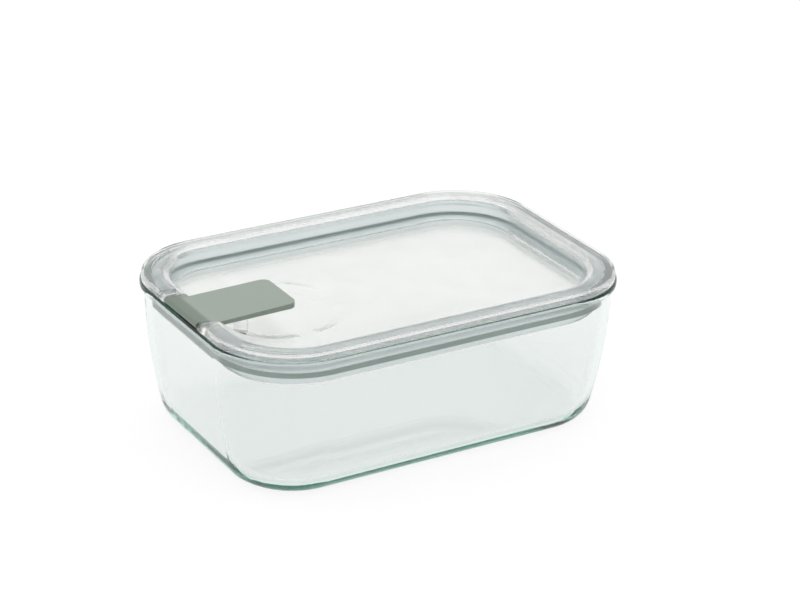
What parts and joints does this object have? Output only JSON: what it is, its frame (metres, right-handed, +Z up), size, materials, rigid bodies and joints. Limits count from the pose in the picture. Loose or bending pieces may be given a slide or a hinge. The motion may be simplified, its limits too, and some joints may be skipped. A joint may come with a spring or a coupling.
{
  "type": "glass storage container",
  "caption": "Rectangular glass food container with a clear push-in lid, a silicone seal and a flat hinged clip on one end of the lid.",
  "frame": {"origin": "on the standing face, under the middle of the container", "axes": "+X along the longer side, away from the clip; +Y across; +Z up"},
  "size_m": [0.227, 0.158, 0.0817],
  "materials": {
    "clear_glass": "smooth clear glass with a faint green tint at its edges",
    "clear_plastic": "clear glossy moulded plastic",
    "silicone": "translucent milky silicone, faintly blue",
    "sage_plastic": "satin sage green moulded plastic"
  },
  "bodies": {
    "container": {"glass_container": "clear_glass"},
    "lid": {"lid": "clear_plastic", "seal_ring": "silicone"},
    "clip": {"clip": "sage_plastic"}
  },
  "joints": [
    {"name": "lid_lift", "type": "slide", "parent": "container", "child": "lid", "axis": [0, 0, 1], "range_m": [0, 0.1]},
    {"name": "clip_hinge", "type": "hinge", "parent": "lid", "child": "clip", "pos_m": [-0.1114, 0, 0.0796], "axis": [0, -1, 0], "range_deg": [0, 85]}
  ]
}
